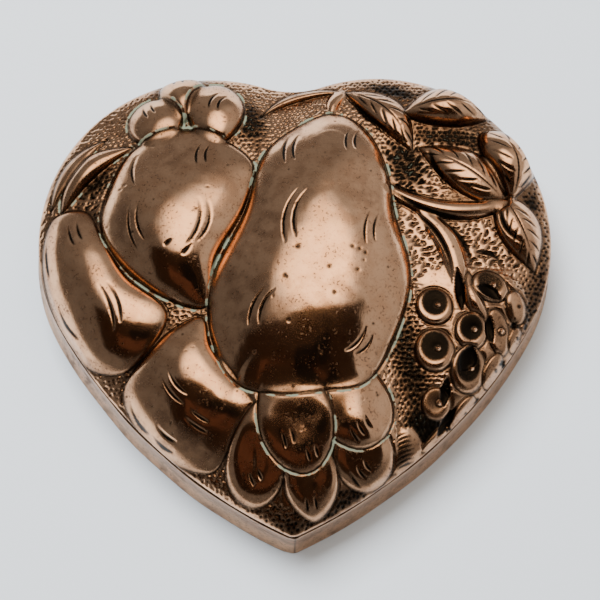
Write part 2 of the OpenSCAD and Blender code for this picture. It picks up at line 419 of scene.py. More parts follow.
def side_strokes():
    """The strokes on the fruit, each as a curve."""
    t = np.linspace(0, 1, 7)
    for x, y, length, turn, bow, count in STROKES:
        way = heading(turn)
        across = np.array([-way[1], way[0]])
        for k in range(count):
            middle = np.array([x, y]) + across * STROKES_APART * ((count - 1) / 2 - k)
            share = 1 - 0.25 * k
            yield midrib(middle - way * length / 2 * share, middle + way * length / 2, bow, t)[0]


def veins(start, end, width, bow, *_):
    """A leaf's chased midrib and its curved side veins, for a leaf as blade() takes it."""
    t = np.linspace(0.08, 0.85, 9)
    yield midrib(start, end, bow, t)[0]
    for k in range(5):
        for side in (-1, 1):
            root = 0.14 + 0.15 * k + (0.04 if side > 0 else 0)
            reach = np.linspace(0, 1, 6)
            rib, across = midrib(start, end, bow, root + 0.2 * reach)
            out = side * width * (0.07 + 0.31 * reach**0.8) * math.sin(math.pi * min(root + 0.12, 1))
            yield rib + across * out[:, None]


def fan_ridges():
    """Fine ridges that spread over the little fan."""
    t = np.linspace(0, 1, 5)
    for k in range(8):
        yield midrib((20.2, -37.4 + 0.9 * k), (25.6 - 0.05 * k * k, -35.2 + 0.75 * k), 0.4, t)[0]


def sprig_strokes():
    t = np.linspace(0, 1, 5)
    for x, y in SPRIGS:
        for turn in (40, 95, 150):
            way = 1.5 * heading(turn)
            yield midrib((x, y) - way, (x, y) + way, 0.2, t)[0]


# ---- relief of the lid

DOME_H = 9.0
SHEET_T, LEAST_SHEET = 0.9, 0.5
# The lid is a little smaller than the wall, which leaves a dark line all round
LID_INSET = 0.26
lid_bottom = node_heights("lid_shell")[0]
wall_top = node_heights("base_wall")[1]
SKIRT_H = 2.2
shoulder = lid_bottom + SKIRT_H
# The relief's rounding: a crisp and a soft radius, and their mix
CRISP, SOFT, SOFT_SHARE = 0.22, 3.2, 0.38
# The dark reflection painted in a dish lies this far towards the cleft
DISH_DARK_SHIFT = 0.7
# Depth and width of each kind of chased cut
STROKE_CUT, VEIN_CUT, FAN_CUT, GROOVE_CUT = (0.26, 0.3), (0.17, 0.22), (0.14, 0.2), (0.36, 0.5)
SLOT_DEPTH = 0.9
# Strength and width of the dark along an outline: the narrowest is oxide in the chased line, the wider
# ones are painted shade; a shape on top of others has only two
OUTLINE_DIRT_AND_SHADE = [(0.82, 0.36), (0.58, 1.0), (0.48, 1.8)]
# Pitch and jitter of the punch marks; length, width and force of both punches
PUNCH_PITCH, JITTER = 1.08, 0.16
FINE_PUNCH, COARSE_PUNCH = (0.4, 0.33, 1.25), (0.62, 0.32, 1.7)
PINHOLES = 260
# The punched ground stops at this share of the way out
GROUND_END = 0.988
# Dirt all over the ground, in its punch marks and in the patches never wiped; painted shade in
# the low places beside raised shapes and on the lower right of the rim; how green the patches are
GROUND_DIRT, PUNCH_DIRT, PATCH_DIRT = 0.22, 0.5, 0.56
CREVICE_SHADE, RIM_SHADE, PATCH_GREEN = 0.6, 0.5, 0.58
rng = np.random.default_rng(11)


def rim_share(x, y):
    """0 at the crown and 1 at the outline."""
    dx, dy = x - CROWN[0], y - CROWN[1]
    return np.hypot(dx, dy) / rim_reach(np.arctan2(dy, dx))


def dome(share):
    """Height of the plain dome above the shoulder."""
    return DOME_H * (1 - unit(share) ** 2.6) ** 0.75


def rim_fade(share):
    """1 over the lid, falling smoothly to 0 at its rim."""
    t = unit((1 - share) * 36)
    return t * t * (3 - 2 * t)


def lift(layer, win, values):
    """Raise a window of a raster to at least these values."""
    layer[win] = np.maximum(layer[win], values)


def add_bulges(rise, covered, patina_and_shade, shapes):
    """Blow the shapes up one after another; a dished one sinks in its middle, where
    a dark reflection is painted. A shape starts from the height of what it laps over at its edge."""
    dark_shift = round(DISH_DARK_SHIFT / PITCH)
    for name, height, power, curve, dark in shapes:
        win, mask, swell = inflated(curve, power)
        lean = LEANING.get(name, 0.0) * (YS[win[0]][:, None] - curve[:, 1].mean())
        dished = swell - DISHED.get(name, 0.0) * swell**4
        if name in ON_TOP:
            lift(rise, win, blur(rise, 2.2)[win] + (height + lean) * dished)
        else:
            raised = rise[win] * (1 - swell) ** 3 + np.maximum(height + lean, 0.4) * swell
            rise[win] = np.where(mask, raised, rise[win])
        # Painted dark reflection in the dish, lying towards the cleft
        darkening = np.roll(swell, dark_shift, 0)
        lift(patina_and_shade, win, dark * unit((darkening - 0.6) * 6))
        if name != "bunch":
            covered[win] |= mask


def add_outlines(detail, patina_and_shade, green, shapes):
    """The chased line round each shape, dark inside it with wider bands of painted shade about it, and
    green just outside it.
    """
    for name, _, _, curve, _ in shapes:
        win, d, _ = distance(curve, True, 4.5)
        within = inside(curve, win)
        for layer in (detail, patina_and_shade, green):
            layer[win] = np.where(within, 0.0, layer[win])
        if name in UNLINED:
            continue
        outward = np.where(within, -d, d)
        detail[win] = np.minimum(detail[win], -0.3 * np.exp(-((outward - 0.1) / 0.3) ** 2))
        # Past the narrowest band of oxide in the line, these bands are painted shade
        for strength, width in OUTLINE_DIRT_AND_SHADE[: 2 if name in ON_TOP else 3]:
            lift(patina_and_shade, win, strength * np.exp(-((outward / width) ** 2)))
        bloom = 1.0 if name in GREEN else 0.45
        lift(green, win, bloom * np.exp(-(((outward - 0.45) / 0.36) ** 2)))


def carve(detail, patina_and_shade, curve, depth, width):
    """One tapered cut, deepest a third of the way along, with dirt in it."""
    win, d, along = distance(curve, False, 2.0)
    taper = np.sin(math.pi * unit(along) ** 0.7) ** 0.6
    reach = width * (0.45 + 0.55 * taper)
    detail[win] -= depth * taper * np.exp(-((d / reach) ** 2))
    lift(patina_and_shade, win, taper * np.exp(-((d / (1.15 * reach)) ** 4)))


def add_cuts(detail, patina_and_shade):
    for curve in [*side_strokes(), *sprig_strokes()]:
        carve(detail, patina_and_shade, curve, *STROKE_CUT)
    for _, _, leaf in VINE_LEAVES:
        for curve in veins(*leaf):
            carve(detail, patina_and_shade, curve, *VEIN_CUT)
    for curve in fan_ridges():
        carve(detail, patina_and_shade, curve, *FAN_CUT)
    t = np.linspace(0, 1, 13)
    for groove in GROOVES:
        carve(detail, patina_and_shade, midrib(*groove, t)[0], *GROOVE_CUT)
    for slot in SLOTS:
        win, _, swell = inflated(blade(*slot, ends=(0.9, 0.9)), 0.4)
        detail[win] -= SLOT_DEPTH * swell
        lift(patina_and_shade, win, unit(swell * 2))


def around(x, y, reach):
    """The cells round a place, and how far each is from it in x and y."""
    win = window(np.array([[x, y]]), reach)
    return win, XS[win[1]][None, :] - x, YS[win[0]][:, None] - y


def add_ring_punches(detail, patina_and_shade):
    """A small punch on every grape: a clean pin in a dished one, a dirty dot on the rest."""
    for x, y, *_, dark in GRAPES:
        cx, cy = x + 0.7, y + 0.2
        size = 1.35 if dark else 0.7
        press(detail, cx, cy, 0.8 * size, 0.8 * size, 0, 0.3)
        press(detail, cx, cy, 0.42 * size, 0.42 * size, 0, -0.75 * size)
        win, dx, dy = around(cx, cy, 1.5)
        d = np.hypot(dx, dy)
        ring = 0.85 if dark else 0.25
        lift(patina_and_shade, win, 0.9 * np.exp(-(((d - ring) / 0.28) ** 2)))
        patina_and_shade[win] *= 1 - np.exp(-((d / 0.58) ** 4)) * (1 if dark else 0)


def press(detail, cx, cy, length, width, turn, depth):
    """Add one smooth punch mark."""
    win, dx, dy = around(cx, cy, 1.8 * max(length, width))
    c, s = math.cos(turn), math.sin(turn)
    u = (dx * c + dy * s) / length
    v = (dy * c - dx * s) / width
    detail[win] -= depth * np.exp(-(u * u + v * v) * 1.6)


def coarse_zone(x, y):
    """Where the ground was matted with a longer punch."""
    return (20 < x < 32 and 0 < y < 34) or (34 < x < 48 and 6 < y < 19)


def add_stipple(detail, ground):
    """Rows of punch marks over the ground, none quite in line."""
    for j, y in enumerate(np.arange(-54, 54, PUNCH_PITCH * 0.87)):
        for x in np.arange(-58, 58, PUNCH_PITCH) + (j % 2) * PUNCH_PITCH / 2:
            px, py = x + rng.normal(0, JITTER), y + rng.normal(0, JITTER)
            turn, depth = rng.normal(0.6, 0.5), rng.uniform(0.17, 0.32)
            col = int((px - LOW[0]) / PITCH)
            row = int((py - LOW[1]) / PITCH)
            if not (0 <= row < NY and 0 <= col < NX) or not ground[row, col]:
                continue
            coarse = coarse_zone(px, py)
            if coarse and (j + int(x)) % 4 == 0:
                continue
            length, width, force = COARSE_PUNCH if coarse else FINE_PUNCH
            press(detail, px, py, length, width, turn, depth * force)


def add_pits(detail, patina_and_shade, count):
    """Old pinholes and knocks."""
    spots = []
    for x, y in KNOCKS:
        r = rng.uniform(0.35, 0.55)
        press(detail, x, y, r * 1.4, r, rng.uniform(0, 3), 0.12)
        spots.append((x, y, r))
    for _ in range(count):
        x, y = rng.uniform(-54, 54), rng.uniform(-48, 50)
        r = 0.12 + 0.2 * rng.random() ** 3
        press(detail, x, y, r * 1.3, r, rng.uniform(0, 3), 0.4 * r)
        spots.append((x, y, r))
    for x, y, r in spots:
        win, dx, dy = around(x, y, 4 * r)
        lift(patina_and_shade, win, 0.8 * np.exp(-((np.hypot(dx, dy) / (1.4 * r)) ** 2)))


def dark_patches(x, y):
    out = np.zeros_like(x)
    for cx, cy, rx, ry, turn in DARK_PATCHES:
        c, s = heading(turn)
        u = ((x - cx) * c + (y - cy) * s) / rx
        v = ((y - cy) * c - (x - cx) * s) / ry
        out = np.maximum(out, np.exp(-((u * u + v * v) ** 1.5)))
    return out


def unevenness(sigma, size):
    """Smooth noise with the given standard deviation."""
    n = blur(rng.standard_normal((NY, NX)), sigma)
    return size * n / n.std()


def build_relief():
    """Rasters of the lid: its broad rise and fine detail, dirt with painted shade, and verdigris."""
    x, y = np.meshgrid(XS, YS)
    share = rim_share(x, y)
    shapes = embossings()
    rise, dish_reflections, detail, patina_and_shade, green = np.zeros((5, NY, NX))
    covered = np.zeros((NY, NX), bool)
    add_bulges(rise, covered, dish_reflections, shapes)
    broad = (1 - SOFT_SHARE) * blur(rise, CRISP) + SOFT_SHARE * blur(rise, SOFT)
    add_outlines(detail, patina_and_shade, green, shapes)
    patina_and_shade = np.maximum(patina_and_shade, blur(dish_reflections, 0.25))
    near = blur(covered.astype(float), 0.3) > 0.2
    ground = ~near & (share < GROUND_END)
    soft_ground = blur(ground.astype(float), 0.3)
    dirty = dark_patches(x, y)
    add_stipple(detail, ground)
    add_cuts(detail, patina_and_shade)
    add_ring_punches(detail, patina_and_shade)
    add_pits(detail, patina_and_shade, PINHOLES)
    hammered = unevenness(4.5, 0.13) + unevenness(1.9, 0.03) + unevenness(0.7, 0.0045)
    hollow = unit(-detail / 0.24 - 0.15)
    detail += hammered
    # Painted shade: the outer rim is darkened towards its lower right
    rim_shade = RIM_SHADE * unit((share - 0.82) * 8) * unit((x - y - 25) / 30)
    ground_dirt = soft_ground * (GROUND_DIRT + PUNCH_DIRT * hollow + PATCH_DIRT * dirty)
    patina_and_shade = np.maximum(patina_and_shade, ground_dirt + rim_shade)
    # Painted shade: the low places beside raised shapes are darkened
    patina_and_shade = np.maximum(patina_and_shade, CREVICE_SHADE * unit(blur(rise, 2.0) - rise))
    green = np.maximum(green, PATCH_GREEN * soft_ground * dirty * unit(0.2 + hollow))
    return {"broad": broad, "detail": detail, "patina_and_shade": unit(patina_and_shade), "verdigris": green}


def sample(raster, x, y):
    """Bilinear reading of a raster."""
    u = np.clip((x - LOW[0]) / PITCH, 0, NX - 1.001)
    v = np.clip((y - LOW[1]) / PITCH, 0, NY - 1.001)
    i, j = u.astype(int), v.astype(int)
    fu, fv = u - i, v - j
    low = raster[j, i] * (1 - fu) + raster[j, i + 1] * fu
    high = raster[j + 1, i] * (1 - fu) + raster[j + 1, i + 1] * fu
    return low * (1 - fv) + high * fv


# ---- meshes

def heart_grid(n, offset):
    """Points of an n by n grid bent to fill the outline, and their share of the way out."""
    t = np.linspace(-1, 1, n + 1)
    u, v = np.meshgrid(t, t)
    wide = np.abs(u) > np.abs(v)
    r = np.where(wide, u, v)
    safe_u, safe_v = np.where(u == 0, 1, u), np.where(v == 0, 1, v)
    a = np.where(wide, math.pi / 4 * v / safe_u, math.pi / 2 - math.pi / 4 * u / safe_v)
    dx, dy = (r * np.cos(a)).ravel(), (r * np.sin(a)).ravel()
    reach = rim_reach(np.arctan2(dy, dx), offset)
    return CROWN[0] + dx * reach, CROWN[1] + dy * reach, np.hypot(dx, dy)


def grid_faces(n, start=0, flip=False):
    """The quads of such a grid."""
    i = np.arange(n)
    a = (start + i[:, None] * (n + 1) + i[None, :]).ravel()
    quads = np.stack([a, a + 1, a + n + 2, a + n + 1], 1)
    return quads[:, ::-1] if flip else quads


def grid_edge(n, start=0):
    """The grid's outer points in order, counter-clockwise."""
    i = np.arange(n)
    w = n + 1
    return start + np.concatenate([i, n + i * w, n * w + n - i, (n - i) * w])


def ring_faces(lower, upper):
    """Quads between two rings of as many points."""
    return np.stack([lower, np.roll(lower, -1), np.roll(upper, -1), upper], 1)


def make_mesh(name, points, faces, attributes=None):
    """A smooth object in metres from millimetre points and lists of faces."""
    sizes = np.concatenate([np.full(len(f), f.shape[1]) for f in faces])
    loops = np.concatenate([f.ravel() for f in faces])
    mesh = bpy.data.meshes.new(name)
    mesh.vertices.add(len(points))
    mesh.vertices.foreach_set("co", (points * MM).astype(np.float32).ravel())
    mesh.loops.add(len(loops))
    mesh.loops.foreach_set("vertex_index", loops.astype(np.int32))
    mesh.polygons.add(len(sizes))
    starts = np.concatenate([[0], np.cumsum(sizes)[:-1]])
    mesh.polygons.foreach_set("loop_start", starts.astype(np.int32))
    mesh.update(calc_edges=True)
    mesh.polygons.foreach_set("use_smooth", np.ones(len(sizes), bool))
    for key, values in (attributes or {}).items():
        mesh.attributes.new(key, "FLOAT", "POINT").data.foreach_set("value", values.astype(np.float32))
    mesh.validate()
    return add_object(name, mesh)


def level_ring(points, z):
    return np.column_stack([points, np.full(len(points), z)])


def outward_ways(points):
    """Unit steps away from the crown."""
    out = points - CROWN
    return out / np.hypot(out[:, 0], out[:, 1])[:, None]


def sweep(name, section, fine, wobble=0.0, shaded_above=None):
    """A band along the outline, its section a closed list of (offset, z)."""
    rings = [heart(o, fine) for o, _ in section]
    n, m = len(rings[0]), len(section)
    points = np.concatenate([level_ring(r, z) for r, (_, z) in zip(rings, section)])
    if wobble:
        waves = np.random.default_rng(3)
        a = np.tile(np.linspace(0, 2 * math.pi, n, endpoint=False), m)
        bend = sum(waves.normal() * np.cos(k * a + waves.uniform(0, 6)) for k in range(5, 26)) / 4
        points[:, :2] += outward_ways(points[:, :2]) * (wobble * bend)[:, None]
    index = np.arange(n * m).reshape(m, n)
    faces = [ring_faces(index[i], index[(i + 1) % m]) for i in range(m)]
    darkening = np.zeros(len(points))
    if shaded_above is not None:
        # Painted shade: the band's top edge, in the seam under the lid, is darkened
        darkening = 0.8 * unit((points[:, 2] - shaded_above) / 0.1)
        # The strip's soldered joint, a dark line down the tip
        joint = np.abs(points[:, 0] - TIP_LEAN - 0.5) + 20 * (points[:, 1] > -45)
        darkening = np.maximum(darkening, 0.7 * np.exp(-((joint / 0.22) ** 2)))
    return make_mesh(name, points, [np.concatenate(faces)], {"patina_and_shade": darkening})


# ---- materials

def colour_socket(sockets, name):
    """A Mix node's colour socket; it has others of the same name for other types."""
    return next(s for s in sockets if s.name == name and s.type == "RGBA")


class Nodes:
    """Short calls for the nodes of a material or of the room."""

    def __init__(self, owner, coordinates):
        owner.use_nodes = True
        self.tree = owner.node_tree
        self.coordinates = self.add("TexCoord").outputs[coordinates]

    def add(self, kind):
        return self.tree.nodes.new("ShaderNode" + kind)

    def feed(self, socket, value):
        """Set a socket, or link it when the value is another socket."""
        if isinstance(value, bpy.types.NodeSocket):
            self.tree.links.new(value, socket)
        else:
            socket.default_value = value

    def between(self, value, low, high, to_low=0.0, to_high=1.0):
        """Map a range smoothly on to another, clamped."""
        node = self.add("MapRange")
        node.interpolation_type = "SMOOTHSTEP"
        limits = {"From Min": low, "From Max": high, "To Min": to_low, "To Max": to_high}
        for name, number in limits.items():
            node.inputs[name].default_value = number
        self.feed(node.inputs["Value"], value)
        return node.outputs["Result"]

    def maths(self, operation, a, b, clamp=False):
        node = self.add("Math")
        node.operation = operation
        node.use_clamp = clamp
        self.feed(node.inputs[0], a)
        self.feed(node.inputs[1], b)
        return node.outputs[0]

    def times(self, a, b):
        return self.maths("MULTIPLY", a, b)

    def mix(self, factor, a, b):
        node = self.add("Mix")
        node.data_type = "RGBA"
        self.feed(node.inputs["Factor"], factor)
        for name, colour in (("A", a), ("B", b)):
            value = (*colour, 1) if isinstance(colour, tuple) else colour
            self.feed(colour_socket(node.inputs, name), value)
        return colour_socket(node.outputs, "Result")


class Shade(Nodes):
    """A Principled material."""

    def __init__(self, name, metallic, roughness):
        self.material = bpy.data.materials.new(name)
        super().__init__(self.material, "Object")
        self.sockets = self.tree.nodes["Principled BSDF"].inputs
        self.feed(self.sockets["Metallic"], metallic)
        self.feed(self.sockets["Roughness"], roughness)

    def attribute(self, name):
        node = self.add("Attribute")
        node.attribute_name = name
        return node.outputs["Fac"]

    def noise(self, pitch, detail=3.0, stretch=(1, 1, 1)):
        """Noise with features about pitch millimetres across."""
        mapping, node = self.add("Mapping"), self.add("TexNoise")
        mapping.inputs["Scale"].default_value = stretch
        self.feed(mapping.inputs["Vector"], self.coordinates)
        node.inputs["Scale"].default_value = 1 / (pitch * MM)
        node.inputs["Detail"].default_value = detail
        self.feed(node.inputs["Vector"], mapping.outputs["Vector"])
        return node.outputs["Fac"]

    def bump(self, height, size):
        """Bump from a height of 0 to 1, size millimetres deep."""
        node = self.add("Bump")
        node.inputs["Distance"].default_value = size * MM
        self.feed(node.inputs["Height"], height)
        self.feed(self.sockets["Normal"], node.outputs["Normal"])

    def finish(self, colour, roughness=None, metallic=None):
        for name, socket in (("Base Color", colour), ("Roughness", roughness), ("Metallic", metallic)):
            if socket is not None:
                self.feed(self.sockets[name], socket)
        return self.material


CLEAN_COPPER = (0.86, 0.49, 0.275)
WARM_COPPER = (0.73, 0.385, 0.205)
BROWN_OXIDE = (0.15, 0.092, 0.062)
DRY_TARNISH_AND_SHADE = (0.25, 0.175, 0.12)
BLACK_PATINA_AND_SHADE = (0.013, 0.0095, 0.0065)
VERDIGRIS = (0.15, 0.175, 0.125)
CARD_LIGHT, CARD_DARK, CARD_STAIN = (0.36, 0.29, 0.2), (0.24, 0.18, 0.12), (0.2, 0.15, 0.1)
WINE, WINE_BRUSHED, WINE_DEEP = (0.085, 0.006, 0.013), (0.16, 0.014, 0.026), (0.04, 0.003, 0.007)


def embossed_copper():
    """Polished on the fruit, dirty in the ground and the chased lines, and darkened there with painted
    shade and painted dark reflections too.
    """
    s = Shade("embossed_copper", 1.0, 0.16)
    darkening, green, under = s.attribute("patina_and_shade"), s.attribute("verdigris"), s.attribute("inside")
    clouds, mottle = s.noise(16, 4), s.noise(3.2, 5)
    speck, grain = s.noise(0.55, 2), s.noise(0.16, 2)
    tarnish = s.times(s.between(clouds, 0.42, 0.68), s.between(mottle, 0.38, 0.66))
    freckles = s.times(s.between(speck, 0.55, 0.66), s.between(mottle, 0.4, 0.62, 0.2, 1.0))
    brown = s.maths("MAXIMUM", s.times(tarnish, 0.5), s.times(freckles, 0.75))
    colour = s.mix(s.between(mottle, 0.3, 0.7), CLEAN_COPPER, WARM_COPPER)
    colour = s.mix(brown, colour, BROWN_OXIDE)
    broken = s.times(darkening, s.between(grain, 0.25, 0.6, 0.72, 1.0))
    # This black holds the dark oxide together with the painted shade and painted dark reflections of the
    # lid's layer
    colour = s.mix(s.between(broken, 0.12, 0.8), colour, BLACK_PATINA_AND_SHADE)
    bloom = s.times(green, s.between(mottle, 0.42, 0.58, 0.1, 1.0))
    bloom = s.between(s.times(bloom, s.between(grain, 0.2, 0.6, 0.6, 1.0)), 0.38, 0.72)
    colour = s.mix(bloom, colour, VERDIGRIS)
    colour = s.mix(s.times(under, 0.7), colour, WARM_COPPER)
    rough = s.between(s.maths("ADD", s.maths("ADD", brown, broken), under), 0.0, 1.3, 0.12, 0.5)
    rough = s.maths("MAXIMUM", rough, s.times(bloom, 0.8))
    metal = s.maths("SUBTRACT", 1.0, s.times(bloom, 0.9), clamp=True)
    scratches = s.noise(0.5, 2, (1, 0.07, 1))
    s.bump(s.maths("ADD", s.times(grain, 0.5), scratches), 0.006)
    return s.finish(colour, rough, metal)


def plain_copper(name, shine, tarnish=0.0):
    """Plain strip and sheet, satin with fine scratches along its length."""
    s = Shade(name, 1.0, shine)
    clouds, mottle, speck = s.noise(11, 4), s.noise(2.2, 4), s.noise(0.45, 2)
    scratches = s.noise(0.6, 3, (0.12, 0.12, 2.0))
    stain = s.times(s.between(clouds, 0.4, 0.7), s.between(mottle, 0.4, 0.68))
    specks = s.times(s.between(speck, 0.58, 0.68), 0.7)
    scores = s.times(s.between(scratches, 0.56, 0.7), 0.45)
    specks = s.maths("MAXIMUM", specks, scores)
    brown = s.maths("MAXIMUM", s.times(stain, 0.8), specks)
    colour = s.mix(s.between(clouds, 0.3, 0.7), CLEAN_COPPER, WARM_COPPER)
    # On the outer band this tarnish is partly real and partly painted shade
    colour = s.mix(s.between(mottle, 0.3, 0.7, 0.75 * tarnish, 1.25 * tarnish), colour, DRY_TARNISH_AND_SHADE)
    colour = s.mix(brown, colour, BROWN_OXIDE)
    # On the band this darkens the top edge as painted shade and marks the soldered joint
    colour = s.mix(s.attribute("patina_and_shade"), colour, BLACK_PATINA_AND_SHADE)
    s.bump(scratches, 0.008)
    return s.finish(colour, s.between(brown, 0.0, 1.0, shine, shine + 0.3))


def lining_card():
    s = Shade("lining_card", 0.0, 0.9)
    fibres, clouds = s.noise(0.3, 5, (1, 1, 0.3)), s.noise(8, 3)
    colour = s.mix(s.between(fibres, 0.35, 0.65), CARD_LIGHT, CARD_DARK)
    colour = s.mix(s.between(clouds, 0.4, 0.7, 0.0, 0.35), colour, CARD_STAIN)
    s.bump(fibres, 0.05)
    return s.finish(colour)


def velvet():
    """Short pile that is brighter where it is brushed and at glancing angles."""
    s = Shade("velvet", 0.0, 0.95)
    s.sockets["Sheen Weight"].default_value = 0.8
    s.sockets["Sheen Roughness"].default_value = 0.35
    s.sockets["Sheen Tint"].default_value = (0.85, 0.25, 0.3, 1)
    brushed, pile = s.noise(9, 4, (1, 0.5, 1)), s.noise(0.22, 2)
    colour = s.mix(s.between(brushed, 0.38, 0.62), WINE, WINE_BRUSHED)
    colour = s.mix(s.between(pile, 0.35, 0.65, 0.0, 0.6), colour, WINE_DEEP)
    s.bump(pile, 0.12)
    return s.finish(colour)


# ---- pieces

# Cells across the grids of the lid and the pad
LID_GRID, PAD_GRID = 440, 96


def dress(obj, material, body, node):
    """Give a piece its material and body, and hide the CAD node it stands for."""
    obj.data.materials.append(material)
    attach(obj, body)
    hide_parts(node)


def make_lid():
    """The embossed sheet, its turned-down skirt and its softer inner face."""
    relief = build_relief()
    n, inner_n = LID_GRID, LID_GRID // 2
    x, y, share = heart_grid(n, -LID_INSET)
    fade = rim_fade(share)
    top = shoulder + dome(share) + sample(relief["broad"], x, y) * fade
    edge_fade = unit((1 - share) * 60)
    outer = np.column_stack([x, y, top + sample(relief["detail"], x, y) * edge_fade])
    ix, iy, _ = heart_grid(inner_n, -SHEET_T)
    over = unit(rim_share(ix, iy))
    plain, inner_fade = shoulder + dome(over), rim_fade(over)
    under = plain + sample(blur(relief["broad"], 0.9), ix, iy) * inner_fade - 1.25 * SHEET_T
    roof = plain + sample(relief["broad"] + relief["detail"], ix, iy) * inner_fade - LEAST_SHEET
    inner = np.column_stack([ix, iy, np.minimum(under, roof)])
    points, faces = [outer, inner], [grid_faces(n), grid_faces(inner_n, len(outer), flip=True)]

    def hang(loop, section, faces_out):
        """Rings of points below an edge of the grids; returns the lowest."""
        rim = np.concatenate([outer, inner])[loop][:, :2]
        for offset, z in section:
            level = np.arange(len(rim)) + sum(len(p) for p in points)
            points.append(level_ring(rim + outward_ways(rim) * offset, z))
            faces.append(ring_faces(level, loop) if faces_out else ring_faces(loop, level))
            loop = level
        return loop

    skirt = [(0, shoulder - 0.5), (0, lid_bottom + 0.9), (0, lid_bottom + 0.35),
             (-0.08, lid_bottom + 0.1), (-0.28, lid_bottom)]
    inner_skirt = [(0, shoulder - 0.5), (0, lid_bottom + 0.3), (0, lid_bottom)]
    loop = hang(grid_edge(n), skirt, True)
    inner_loop = hang(grid_edge(inner_n, len(outer)), inner_skirt, False)
    # Two outer points to each inner one along the lid's lower edge
    even, odd = loop[0::2], loop[1::2]
    after, inner_after = np.roll(even, -1), np.roll(inner_loop, -1)
    for three in ((even, inner_loop, odd), (odd, inner_after, after), (odd, inner_loop, inner_after)):
        faces.append(np.stack(three, 1))
    points = np.concatenate(points)
    is_outer = np.arange(len(points)) < len(outer)
    inside_flag = np.zeros(len(points))
    inside_flag[len(outer):len(outer) + len(inner)] = 1
    inside_flag[-len(inner_skirt) * len(inner_loop):] = 1
    attributes = {"inside": inside_flag}
    for key in ("patina_and_shade", "verdigris"):
        attributes[key] = np.where(is_outer, sample(relief[key], points[:, 0], points[:, 1]), 0.0)
    return make_mesh("embossed_lid", points, faces, attributes)


FLARE, FLARE_H = 1.6, 7.0
WALL_T, COLLAR_T, CARD_T, VELVET_T = 1.2, 0.8, 0.4, 0.5
PAD_GAP = 0.45
CLOTH_FRAMES, MOST_SWELL = 16, 1.0


def flare_at(z):
    """How far the foot of the wall stands out at a height."""
    return FLARE * max(0.0, 1 - z / FLARE_H) ** 2


def make_wall():
    """The plain strip with rounded edges and a few dents."""
    round_r = 0.28
    straight = np.linspace(FLARE_H + 1, wall_top - round_r, 7)
    heights = np.concatenate([np.linspace(round_r, FLARE_H, 12), straight])
    outside = [(flare_at(z), z) for z in heights]
    inside_face = [(flare_at(z) - WALL_T, z) for z in heights[::-1]]
    turn = np.radians([20, 45, 70])
    top = [(round_r * (math.cos(a) - 1), wall_top - round_r + round_r * math.sin(a)) for a in turn]
    top += [(-WALL_T + round_r, wall_top), (-WALL_T + 0.08, wall_top - 0.08)]
    foot = [(flare_at(0) - WALL_T + round_r, 0), (flare_at(0) - round_r, 0), (flare_at(0) - 0.08, 0.08)]
    section = outside + top + inside_face + foot
    return sweep("base_band", section, 12, wobble=0.05, shaded_above=wall_top - 0.14)


def make_collar():
    low, high = node_heights("inner_collar")
    outer, inner = -WALL_T - 0.02, -WALL_T - COLLAR_T
    section = [(outer, low), (outer, wall_top), (outer, high - 0.25), (outer - 0.1, high - 0.06),
               (outer - 0.3, high), (inner + 0.25, high), (inner + 0.06, high - 0.1), (inner, high - 0.3),
               (inner, wall_top), (inner, low)]
    return sweep("collar_strip", section, 8)


def make_lining():
    """Velvet strip, folded over the card at its top."""
    low, high = node_heights("lining_velvet")
    outer = -WALL_T - COLLAR_T - CARD_T - 0.02
    inner = outer - VELVET_T + 0.04
    section = [(outer, low), (outer, high - 0.3), (outer - 0.06, high - 0.1), (outer - 0.2, high),
               (inner + 0.15, high - 0.02), (inner + 0.03, high - 0.15), (inner, high - 0.5),
               (inner, high - 3), (inner, low + 5), (inner, low + 2), (inner, low)]
    return sweep("velvet_strip", section, 8)


def inflate(obj, pinned):
    """Let a closed cloth form swell for a few frames and return its points."""
    group = obj.vertex_groups.new(name="pinned")
    group.add([int(i) for i in np.flatnonzero(pinned)], 1.0, "REPLACE")
    cloth = obj.modifiers.new("cloth", "CLOTH")
    settings = cloth.settings
    settings.quality = 5
    settings.mass = 0.2
    settings.use_pressure = True
    settings.uniform_pressure_force = 4
    settings.tension_stiffness = 12
    settings.bending_stiffness = 0.4
    settings.effector_weights.gravity = 0
    settings.vertex_group_mass = "pinned"
    scene = bpy.context.scene
    for step in range(1, CLOTH_FRAMES + 1):
        scene.frame_set(step)
    swollen = obj.evaluated_get(bpy.context.evaluated_depsgraph_get())
    after = np.empty(3 * len(obj.data.vertices), np.float32)
    swollen.data.vertices.foreach_get("co", after)
    obj.modifiers.remove(cloth)
    obj.vertex_groups.remove(group)
    scene.frame_set(1)
    return after.reshape(-1, 3)


def make_pad():
    """The padded velvet bottom, swollen over its board."""
    low, high = node_heights("velvet_pad")
    edge = -WALL_T - COLLAR_T - CARD_T - VELVET_T - PAD_GAP
    n = PAD_GRID
    x, y, share = heart_grid(n, edge)
    bulge = (1 - share**6) ** 0.5
    top = np.column_stack([x, y, low + 0.9 + (high - low - 2.0) * bulge])
    bottom = level_ring(top[:, :2], low + 0.02)
    loop, under = grid_edge(n), grid_edge(n, len(top))
    faces = [grid_faces(n), grid_faces(n, len(top), flip=True), ring_faces(under, loop)]
    points = np.concatenate([top, bottom])
    obj = make_mesh("velvet_cushion", points, faces)
    before = points * MM
    pinned = np.concatenate([share > 0.97, np.ones(len(bottom), bool)])
    move = inflate(obj, pinned) - before
    size = np.linalg.norm(move, axis=1)
    move *= np.minimum(1, MOST_SWELL * MM / np.maximum(size, 1e-9))[:, None]
    after = before + move
    after[:, 2] = np.clip(after[:, 2], low * MM, high * MM)
    obj.data.vertices.foreach_set("co", after.astype(np.float32).ravel())
    obj.data.update()
    smoothing = obj.modifiers.new("smooth", "SUBSURF")
    smoothing.levels = smoothing.render_levels = 1
    return obj


def dress_cad(name, material):
    """Put a procedural material on a CAD node that keeps its shape."""
    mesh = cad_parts[name].data
    mesh.materials.clear()
    mesh.materials.append(material)


